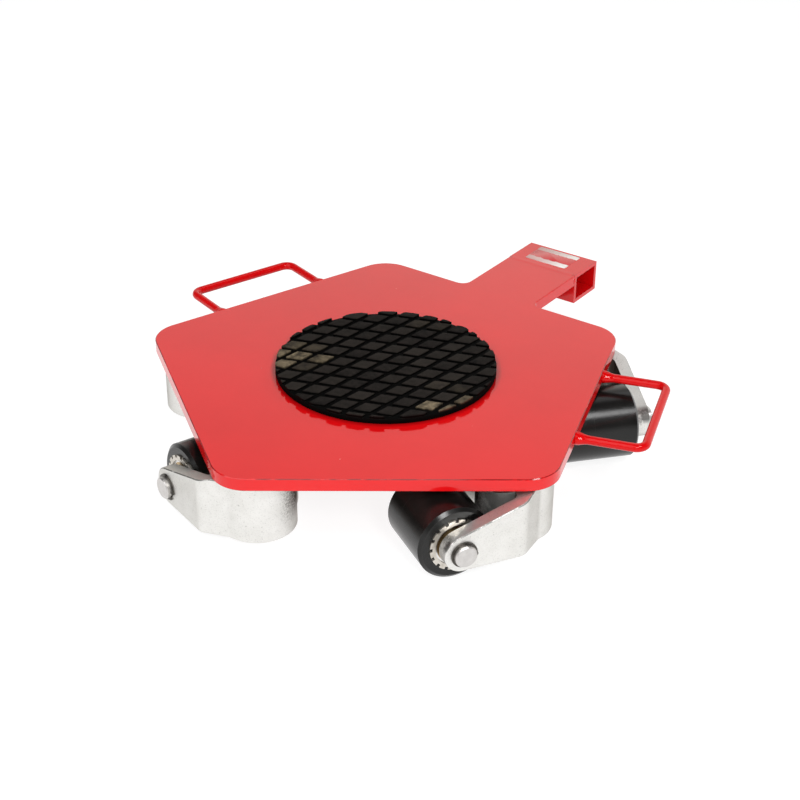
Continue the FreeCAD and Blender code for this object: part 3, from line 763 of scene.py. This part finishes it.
def blank_plate_finish(centre, half_band):
    """A worn plate with nothing on it but a red band on a pale ground, faded towards one end."""
    material, tree, shader = start_material("blank_plate", ior=1.46)
    place = vector_calc(tree, "SUBTRACT", local_place(tree), centre)
    sides = add(tree, "SeparateXYZ", {0: place}).outputs
    noise = cloud(tree, local_place(tree), BLANK_WOBBLE_SIZE)
    wobble = spread(tree, noise, *NOISE_SPAN, -BLANK_WOBBLE, BLANK_WOBBLE)
    across = calc(tree, "ADD", calc(tree, "ABSOLUTE", sides["Y"]), wobble)
    band = spread(tree, across, half_band + BLANK_BAND_BLUR, half_band - BLANK_BAND_BLUR)
    fresh = spread(tree, calc(tree, "ADD", sides["X"], wobble), *BLANK_FADE)
    colour = blend(tree, fresh, BLANK_FADED_GROUND, BLANK_GROUND)
    colour = blend(tree, band, colour, BLANK_BAND)
    worn = use(tree, EDGES, "Mask", width=1.0 * MM, break_size=5 * MM)
    colour = tint(tree, colour, BLANK_WORN_EDGE, worn, strength=0.5)
    grain = use(tree, GRAIN, "Height", size=3 * MM)
    roughness = uneven_roughness(tree, grain, least=0.16, most=0.3)
    dress(tree, shader, colour, roughness, (grain, 0.03 * MM))
    return material


def floor_finish():
    """A pale floor that glows, so that shadows on it stay light."""
    material, tree, shader = start_material("studio_floor", specular_ior_level=0.0)
    shader.inputs["Emission Color"].default_value = FLOOR_GLOW_COLOUR
    shader.inputs["Emission Strength"].default_value = FLOOR_GLOW
    colour = blend(tree, use(tree, TONE, "Mask", size=FLOOR_PATCH_SIZE), FLOOR_DARK, FLOOR_LIGHT)
    dress(tree, shader, colour, 1.0)
    return material


# Pieces


def clip(outline, normal, limit):
    """The part of a convex outline that lies no further along a normal than the limit."""
    kept = []
    for here, there in zip(outline, outline[1:] + outline[:1]):
        here_past = here.dot(normal) - limit
        there_past = there.dot(normal) - limit
        if here_past <= 0:
            kept.append(here)
        if here_past * there_past < 0:
            kept.append(here.lerp(there, here_past / (here_past - there_past)))
    return kept


def outline_area(outline):
    """The area inside a flat outline."""
    total = 0.0
    for here, there in zip(outline, outline[1:] + outline[:1]):
        total += here.x * there.y - here.y * there.x
    return abs(total) / 2


def without_short_edges(outline):
    """The same outline without points that lie very close to the one before."""
    kept = []
    for point in outline:
        if not kept or (point - kept[-1]).length > BLOCK_SHORTEST_EDGE:
            kept.append(point)
    if len(kept) > 1 and (kept[0] - kept[-1]).length <= BLOCK_SHORTEST_EDGE:
        kept.pop()
    return kept


def block_outlines():
    """Each tread block's outline about the pad's centre: between the grooves, inside the rim."""
    rim = [unit(step * TURN / PAD_RIM_STEPS) * PAD_RADIUS for step in range(PAD_RIM_STEPS)]
    reach = math.ceil(PAD_RADIUS / TREAD_PITCH)
    normals = [unit(angle) for angle in GROOVE_NORMALS]
    half_gap = GROOVE_WIDTH / 2
    for row in range(-reach - 1, reach + 1):
        for column in range(-reach - 1, reach + 1):
            outline = rim
            for step, normal, offset_share in zip((row, column), normals, GROOVE_OFFSET_SHARES):
                low = (step + offset_share) * TREAD_PITCH + half_gap
                high = (step + 1 + offset_share) * TREAD_PITCH - half_gap
                outline = clip(clip(outline, normal, high), -normal, -low)
            outline = without_short_edges(outline)
            if len(outline) > 2 and outline_area(outline) > BLOCK_SMALLEST_AREA:
                yield outline


def dust_at(place):
    """How much dust a place on the pad holds, from 0 to 1."""
    most = 0.0
    for angle, distance, strength in DUSTY_PLACES:
        away = (place - unit(angle) * distance).length / DUST_REACH
        most = max(most, strength * (1 - away * away))
    return most


def add_block(shape, outline, top, tone, dust):
    """One tread block: straight sides, rounded top edges, sunk a little into the pad's base."""
    root = PAD_HIGH.z - GROOVE_DEPTH - BLOCK_ROOT_SINK
    lower = [shape.verts.new((DECK_CENTRE.x + p.x, DECK_CENTRE.y + p.y, root)) for p in outline]
    upper = [shape.verts.new((DECK_CENTRE.x + p.x, DECK_CENTRE.y + p.y, top)) for p in outline]
    shape.faces.new(list(reversed(lower)))
    cover = shape.faces.new(upper)
    for here in range(len(outline)):
        there = (here + 1) % len(outline)
        shape.faces.new((lower[here], lower[there], upper[there], upper[here]))
    before = set(shape.verts) - set(lower) - set(upper)
    bmesh.ops.bevel(
        shape,
        geom=list(cover.edges),
        offset=BLOCK_ROUNDING,
        segments=BLOCK_ROUNDING_STEPS,
        profile=0.5,
        affect="EDGES",
        clamp_overlap=True,
    )
    tones = shape.verts.layers.float["block_tone"]
    dusts = shape.verts.layers.float["block_dust"]
    for vertex in set(shape.verts) - before:
        vertex[tones] = tone
        vertex[dusts] = dust if vertex.co.z > root + GROOVE_DEPTH / 2 else 0.0


def close_over(shape, rings):
    """Faces between rings of points, and a cap on the first and on the last ring."""
    points = len(rings[0])
    for here, there in zip(rings, rings[1:]):
        for point in range(points):
            after = (point + 1) % points
            shape.faces.new((here[point], here[after], there[after], there[point]))
    shape.faces.new(list(reversed(rings[0])))
    shape.faces.new(rings[-1])


def add_turned(shape, line, steps, centre, outward, side, up, lift=None):
    """A closed surface turned about the outward axis from a line of (distance, radius) points."""
    rings = []
    for place, (distance, radius) in enumerate(line):
        share = place / (len(line) - 1)
        ring = []
        for step in range(steps):
            angle = step * TURN / steps
            grown = radius + (lift(angle, share) if lift else 0.0)
            level = side * math.cos(angle) + up * math.sin(angle)
            ring.append(shape.verts.new(centre + outward * distance + level * grown))
        rings.append(ring)
    close_over(shape, rings)


def load_pad_mesh():
    """The rubber pad: a disc with a softened rim, and the tread blocks standing on it."""
    shape = bmesh.new()
    shape.verts.layers.float.new("block_tone")
    shape.verts.layers.float.new("block_dust")
    base_height = PAD_HIGH.z - GROOVE_DEPTH - PAD_LOW.z
    line = (
        (0.0, PAD_RADIUS - PAD_FOOT_INSET),
        (PAD_FOOT_RISE, PAD_RADIUS),
        (base_height - PAD_RIM_EASE, PAD_RADIUS),
        (base_height, PAD_RADIUS - PAD_RIM_EASE),
    )
    centre = Vector((DECK_CENTRE.x, DECK_CENTRE.y, PAD_LOW.z))
    add_turned(shape, line, PAD_RIM_STEPS, centre, Vector((0, 0, 1)), Vector((1, 0, 0)), Vector((0, 1, 0)))
    chance = random.Random(SEED)
    for outline in block_outlines():
        middle = sum(outline, Vector((0, 0, 0))) / len(outline)
        top = PAD_HIGH.z - chance.random() * BLOCK_UNEVENNESS
        dust = dust_at(middle) * (DUST_SURE_SHARE + DUST_RANDOM_SHARE * chance.random())
        add_block(shape, outline, top, chance.random(), dust)
    return finish_mesh("load_pad_tread", shape)


def weld_lumps(phase):
    """A weld's unevenness, as the lift at an angle round it and a share of its length."""

    def lift(angle, share):
        fade = math.sin(math.pi * share)
        ripple = abs(math.sin((angle * WELD_RIPPLES + WELD_RIPPLE_LEAN * share) / 2 + phase)) - 0.5
        sway = WELD_SWAY_SHARES[0] * math.sin(2 * angle + phase)
        sway += WELD_SWAY_SHARES[1] * math.sin(3 * angle + 2 * phase)
        return fade * WELD_RIPPLE_HEIGHT * (ripple + sway)

    return lift


def handle_weld_mesh(name, edge_angle):
    """The two lumpy weld fillets at a handle's roots."""
    shape = bmesh.new()
    outward = unit(edge_angle)
    along = unit(edge_angle + TURN / 4)
    up = Vector((0, 0, 1))
    for side in (-1, 1):
        chance = random.Random(SEED + side)
        lumps = weld_lumps(chance.random() * TURN)
        centre = DECK_CENTRE + outward * DECK_INRADIUS + along * (side * HANDLE_SPAN / 2)
        centre.z = DECK_MIDDLE
        add_turned(shape, WELD_LINE, WELD_STEPS_AROUND, centre, outward, along, up, lumps)
    return finish_mesh(name, shape)


def add_bead(shape, start, end, out_a, out_b, section, ripple_height):
    """A rippled bead from start to end. The section's points lie along out_a and out_b."""
    length = (end - start).length
    count = int(length / SEAM_STEP)
    rings = []
    for step in range(count + 1):
        share = step / count
        phase = share * length / SEAM_RIPPLE_PITCH * math.pi
        end_fade = min(1.0, min(share, 1 - share) * length / SEAM_LEG + SEAM_END_SHARE)
        sway = SEAM_SWAY_SHARE * math.sin(phase * SEAM_SWAY_PACE)
        swell = ripple_height * (abs(math.sin(phase)) + sway - 0.5)
        centre = start.lerp(end, share)
        ring = []
        for a, b in section:
            place = centre + out_a * a + out_b * b
            outward = out_a * max(a, 0) + out_b * max(b, 0)
            if outward.length > 0:
                place += outward.normalized() * swell
            ring.append(shape.verts.new(centre.lerp(place, end_fade)))
        rings.append(ring)
    close_over(shape, rings)


def fillet_section():
    """A fillet bead in a right-angled corner, its back sunk into both walls."""
    far, near = FILLET_SHOULDER
    return (
        (-SEAM_SINK, -SEAM_SINK),
        (SEAM_LEG, -SEAM_SINK),
        (SEAM_LEG, 0.0),
        (far, near),
        (FILLET_BULGE, FILLET_BULGE),
        (near, far),
        (0.0, SEAM_LEG),
        (-SEAM_SINK, SEAM_LEG),
    )


def low_bead_section():
    """A low bead over a flush joint, its back sunk into the plate."""
    half = SIDE_BEAD_HALF_WIDTH
    shoulder, shoulder_rise = half * BEAD_SHOULDER_OUT, SIDE_BEAD_RISE * BEAD_SHOULDER_RISE
    return (
        (-half, -SEAM_SINK),
        (half, -SEAM_SINK),
        (half, 0.0),
        (shoulder, shoulder_rise),
        (0.0, SIDE_BEAD_RISE),
        (-shoulder, shoulder_rise),
        (-half, 0.0),
    )


def ground_bead_section():
    """A bead ground nearly flush, its edges running out under the surface on either side."""
    half, hidden = TOP_BEAD_HALF_WIDTH, TOP_BEAD_HIDDEN_HALF_WIDTH
    shoulder, shoulder_rise = half * BEAD_SHOULDER_OUT, TOP_BEAD_RISE * BEAD_SHOULDER_RISE
    return (
        (-hidden, -SEAM_SINK),
        (hidden, -SEAM_SINK),
        (hidden, -TOP_BEAD_RISE),
        (half, 0.0),
        (shoulder, shoulder_rise),
        (0.0, TOP_BEAD_RISE),
        (-shoulder, shoulder_rise),
        (-half, 0.0),
        (-hidden, -TOP_BEAD_RISE),
    )


def tube_weld_mesh():
    """The weld between the tongue's end and the tube: a fillet below, low beads at the sides and on top."""
    shape = bmesh.new()
    corner = Vector((0, TUBE_LOW.y, PLATE_LOW.z))
    half = Vector((TUBE_HIGH.x - SEAM_INSET, 0, 0))
    down = Vector((0, 0, -1))
    inward = Vector((0, -1, 0))
    add_bead(shape, corner - half, corner + half, inward, down, fillet_section(), SEAM_RIPPLE_HEIGHT)
    for side in (-1, 1):
        outward = Vector((side, 0, 0))
        low = Vector((side * TUBE_HIGH.x, TUBE_LOW.y, PLATE_LOW.z + SEAM_INSET))
        high = Vector((side * TUBE_HIGH.x, TUBE_LOW.y, PLATE_HIGH.z - SEAM_INSET))
        add_bead(shape, low, high, inward, outward, low_bead_section(), SEAM_RIPPLE_HEIGHT)
    seam = Vector((0, TUBE_LOW.y, PLATE_HIGH.z))
    add_bead(shape, seam - half, seam + half, inward, -down, ground_bead_section(), 0.0)
    return finish_mesh("tube_weld", shape)


def rounded_corners(half_x, half_y, radius, steps):
    """A rectangle's outline with rounded corners."""
    outline = []
    for quarter in range(4):
        sign_x = 1 if quarter in (0, 3) else -1
        sign_y = 1 if quarter in (0, 1) else -1
        middle = Vector((sign_x * (half_x - radius), sign_y * (half_y - radius), 0))
        for step in range(steps + 1):
            outline.append(middle + unit((quarter + step / steps) * TURN / 4) * radius)
    return outline


def blank_plate_mesh(centre):
    """The thin plate, rounded at its corners and eased along its top edge."""
    shape = bmesh.new()
    half_x, half_y = BLANK_SIZE[0] / 2, BLANK_SIZE[1] / 2
    ease = BLANK_THICKNESS / 2
    levels = ((-BLANK_SINK, 0.0), (BLANK_THICKNESS - ease, 0.0), (BLANK_THICKNESS, ease))
    rings = []
    for height, inset in levels:
        outline = rounded_corners(half_x - inset, half_y - inset, BLANK_CORNER - inset, BLANK_CORNER_STEPS)
        rings.append([shape.verts.new(centre + point + Vector((0, 0, height))) for point in outline])
    close_over(shape, rings)
    return finish_mesh("blank_plate", shape)


# Dressing the carried-over pieces

DECK_FINISHES = {
    "base_plate": "red_paint",
    "tow_tube": "red_paint",
    "handle_right": "bar_paint",
    "handle_left": "bar_paint",
    "king_nuts": "plated_steel",
    "thrust_upper_races": "bearing_steel",
    "thrust_balls": "bearing_steel",
}
CASTER_FINISHES = {
    "fork": "cast_fork",
    "swivel_bush": "bush_bronze",
    "thrust_lower_race": "bearing_steel",
    "dust_cap": "plated_steel",
    "axle_circlips": "spring_steel",
    "bearing_inner_rings": "bearing_steel",
    "retaining_rings": "plated_steel",
}
FINISHES = {
    "red_paint": red_paint("red_paint", PAINT_DARK, PAINT_LIGHT, gloss=0.5, rim_share=0.9),
    "bar_paint": red_paint("bar_paint", BAR_PAINT_DARK, BAR_PAINT_LIGHT, gloss=0.22, rim_share=0.0),
    "cast_fork": cast_fork(),
}
for finish_name, values in SMALL_METALS.items():
    FINISHES[finish_name] = small_metal(finish_name, **values)


def put_on(node, material):
    """Gives a carried-over node its finish in every material slot."""
    for slot in frame["nodes"][node].material_slots:
        slot.material = material


def dress_frame():
    """Gives every carried-over node its finish. Rollers, axles and bearings get marks about their axle."""
    for node, finish in DECK_FINISHES.items():
        put_on(node, FINISHES[finish])
    put_on("king_pins", plain_steel("king_pins", DECK_CENTRE, (0, 0, 1)))
    for joint in frame["joints"]:
        if not joint["name"].endswith("_roll"):
            continue
        place = joint["name"].removesuffix("_roll")
        centre, axis = joint["pos_m"], joint["axis"]
        put_on(place + "_roller", roller_nylon(place, centre, axis))
        put_on(place + "_axle", plain_steel(place + "_axle", centre, axis))
        put_on(place + "_roller_bearings", shielded_bearing(place, centre, axis))
        for piece, finish in CASTER_FINISHES.items():
            put_on(place + "_" + piece, FINISHES[finish])


def make_pieces():
    """The pieces that are modelled here, each riding on the deck."""
    tread = new_piece("load_pad_tread", load_pad_mesh(), pad_rubber(), "deck")
    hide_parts("load_pad")
    for handle, edge_angle in HANDLE_EDGES.items():
        name = handle + "_welds"
        new_piece(name, handle_weld_mesh(name, edge_angle), FINISHES["bar_paint"], "deck")
    new_piece("tube_weld", tube_weld_mesh(), FINISHES["red_paint"], "deck")
    centre = Vector((BLANK_CENTRE_X, TUBE_HIGH.y - BLANK_EDGE_GAP - BLANK_SIZE[1] / 2, TUBE_HIGH.z))
    finish = blank_plate_finish(centre, BLANK_SIZE[1] / 4)
    new_piece("blank_plate", blank_plate_mesh(centre), finish, "deck")


def make_floor():
    """A wide pale floor."""
    half = FLOOR_SIDE / 2
    mesh = bpy.data.meshes.new("studio_floor")
    corners = [(-half, -half, 0), (half, -half, 0), (half, half, 0), (-half, half, 0)]
    mesh.from_pydata(corners, [], [(0, 1, 2, 3)])
    mesh.materials.append(floor_finish())
    floor = bpy.data.objects.new("studio_floor", mesh)
    bpy.context.scene.collection.objects.link(floor)


def make_surroundings():
    """A dim room with a lit backdrop and a pale horizon."""
    world = bpy.data.worlds.new("studio_surround")
    world.use_nodes = True
    tree = world.node_tree
    direction = add(tree, "TexCoord").outputs["Generated"]
    height = add(tree, "SeparateXYZ", {0: direction}).outputs["Z"]
    backward = vector_calc(tree, "DOT_PRODUCT", direction, BACKDROP_DIRECTION, "Value")
    sideways = spread(tree, backward, *BACKDROP_SIDE_FADE)
    backdrop = calc(tree, "MULTIPLY", sideways, spread(tree, height, *BACKDROP_TOP_FADE))
    level = spread(tree, backdrop, 0.0, 1.0, ROOM_LEVEL, BACKDROP_LEVEL)
    horizon = spread(tree, height, *HORIZON_FADE, to_high=HORIZON_LEVEL)
    background = tree.nodes["Background"]
    feed(tree, background.inputs["Strength"], calc(tree, "MAXIMUM", level, horizon))
    feed(tree, background.inputs["Color"], blend(tree, backdrop, ROOM_COLOUR, BACKDROP_COLOUR))
    bpy.context.scene.world = world


def make_lights():
    """The softboxes, each turned towards the deck."""
    for heading, rise, side, power in SOFTBOXES:
        light = bpy.data.lights.new("softbox", "AREA")
        light.shape = "SQUARE"
        light.size = side
        light.energy = power
        lamp = bpy.data.objects.new("softbox", light)
        away = unit(heading) * math.cos(rise) + Vector((0, 0, math.sin(rise)))
        lamp.location = DECK_CENTRE + away * SOFTBOX_DISTANCE
        lamp.rotation_euler = away.to_track_quat("Z", "Y").to_euler()
        bpy.context.scene.collection.objects.link(lamp)


def make_camera():
    """The camera at the photograph's standpoint."""
    data = bpy.data.cameras.new("photo_camera")
    data.sensor_width = CAMERA_SENSOR
    data.lens = CAMERA_LENS
    camera = bpy.data.objects.new("photo_camera", data)
    aim = Euler((TURN / 4 - CAMERA_DROP, 0, CAMERA_HEADING)).to_matrix()
    turned = (aim @ Matrix.Rotation(CAMERA_ROLL, 3, "Z")).to_4x4()
    camera.matrix_world = Matrix.Translation(CAMERA_PLACE) @ turned
    bpy.context.scene.collection.objects.link(camera)
    bpy.context.scene.camera = camera


dress_frame()
make_pieces()
make_floor()
make_surroundings()
make_lights()
make_camera()
bpy.context.scene.view_settings.view_transform = "Standard"
bpy.context.view_layer.update()
